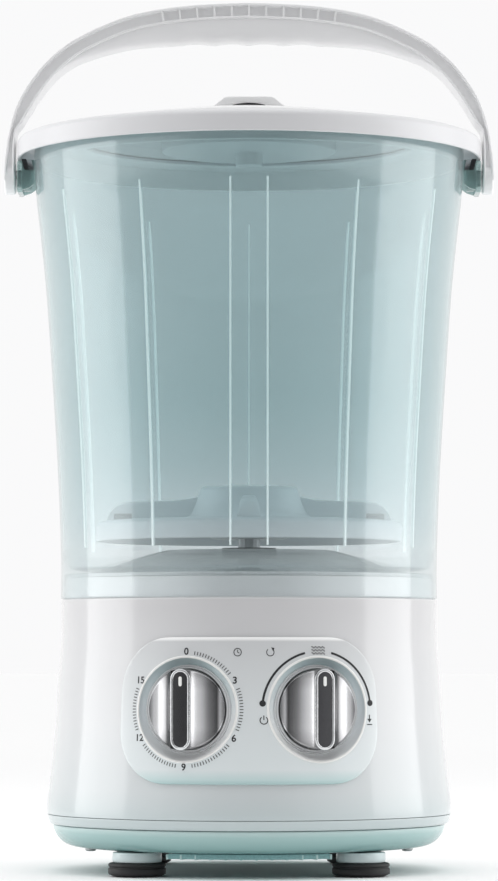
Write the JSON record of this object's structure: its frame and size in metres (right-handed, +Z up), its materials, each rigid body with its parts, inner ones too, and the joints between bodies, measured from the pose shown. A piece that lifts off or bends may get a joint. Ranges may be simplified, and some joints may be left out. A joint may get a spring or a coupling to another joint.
{
  "type": "portable mini washing machine",
  "caption": "Portable mini washer: clear flared tub on a round white base with knob-turned dials, a drop-in lid, an upright bail handle and rubber feet.",
  "frame": {"origin": "on the floor, under the tub's axis, in the plane of the four rubber feet", "axes": "+Z up along the tub's axis, -Y towards the dials, +X towards the viewer's right"},
  "size_m": [0.359, 0.34, 0.6326],
  "materials": {
    "white_plastic": "smooth gloss",
    "panel_plastic": "satin gloss",
    "teal_plastic": "smooth gloss",
    "dark_teal_plastic": "matte",
    "clear_plastic": "clear, tinted",
    "pale_plastic": "satin",
    "knob_metal": "turned, brushed",
    "black_plastic": "fine texture",
    "rubber": "matte",
    "steel": "satin",
    "grey_plastic": "matte"
  },
  "bodies": {
    "washer_body": {"base_housing": "white_plastic", "base_trim_ring": "white_plastic", "rim_ring": "white_plastic", "control_panel": "panel_plastic", "bottom_tray": "teal_plastic", "tub_ear_left": "teal_plastic", "tub_ear_right": "teal_plastic", "bottom_vent_grille": "dark_teal_plastic", "tub": "clear_plastic", "drain_strainer": "pale_plastic", "drain_valve": "pale_plastic", "foot_post_front_left": "pale_plastic", "foot_post_front_right": "pale_plastic", "foot_post_rear_left": "pale_plastic", "foot_post_rear_right": "pale_plastic", "capacitor": "black_plastic", "foot_pad_front_left": "rubber", "foot_pad_front_right": "rubber", "foot_pad_rear_left": "rubber", "foot_pad_rear_right": "rubber", "tub_gasket": "rubber", "shaft_seal": "rubber", "cord_gland": "rubber", "drive_belt": "rubber", "tray_screw_1": "steel", "tray_screw_2": "steel", "tray_screw_3": "steel", "tray_screw_4": "steel", "bearing_housing": "steel", "motor_body": "steel", "handle_pin_left": "steel", "handle_pin_right": "steel", "wash_timer": "grey_plastic", "selector_switch": "grey_plastic", "drain_tube": "grey_plastic", "drain_spigot": "grey_plastic", "motor_bracket": "grey_plastic"},
    "timer_dial_knob": {"timer_knob": "knob_metal", "timer_knob_insert": "black_plastic", "timer_shaft": "steel"},
    "selector_dial_knob": {"selector_knob": "knob_metal", "selector_knob_insert": "black_plastic", "selector_shaft": "steel"},
    "lid_set": {"lid": "white_plastic", "lid_grip": "white_plastic"},
    "carry_handle": {"handle": "white_plastic"},
    "pulsator_set": {"pulsator": "pale_plastic", "pulsator_screw": "steel", "pulsator_shaft": "steel", "driven_pulley": "grey_plastic"},
    "motor_rotor": {"motor_shaft": "steel", "motor_pulley": "grey_plastic"}
  },
  "joints": [
    {"name": "timer_turn", "type": "hinge", "parent": "washer_body", "child": "timer_dial_knob", "pos_m": [-0.04373, -0.133, 0.1178], "axis": [0.3123, 0.95, 0], "range_deg": [0, 300]},
    {"name": "selector_turn", "type": "hinge", "parent": "washer_body", "child": "selector_dial_knob", "pos_m": [0.04834, -0.13139, 0.1178], "axis": [-0.3453, 0.9385, 0], "range_deg": [-82, 82]},
    {"name": "lid_lift", "type": "slide", "parent": "washer_body", "child": "lid_set", "axis": [0, -0.9272, 0.3746], "range_m": [0, 0.3]},
    {"name": "handle_swing", "type": "hinge", "parent": "washer_body", "child": "carry_handle", "pos_m": [0, 0, 0.505], "axis": [1, 0, 0], "range_deg": [-24, 24]},
    {"name": "pulsator_spin", "type": "hinge", "parent": "washer_body", "child": "pulsator_set", "pos_m": [0, 0, 0.25], "axis": [0, 0, 1], "continuous": true},
    {"name": "motor_spin", "type": "hinge", "parent": "washer_body", "child": "motor_rotor", "pos_m": [0, 0.082, 0.08], "axis": [0, 0, 1], "continuous": true}
  ],
  "couplings": [
    {"joint": "motor_spin", "follows": "pulsator_spin", "ratio": 4.4351}
  ]
}
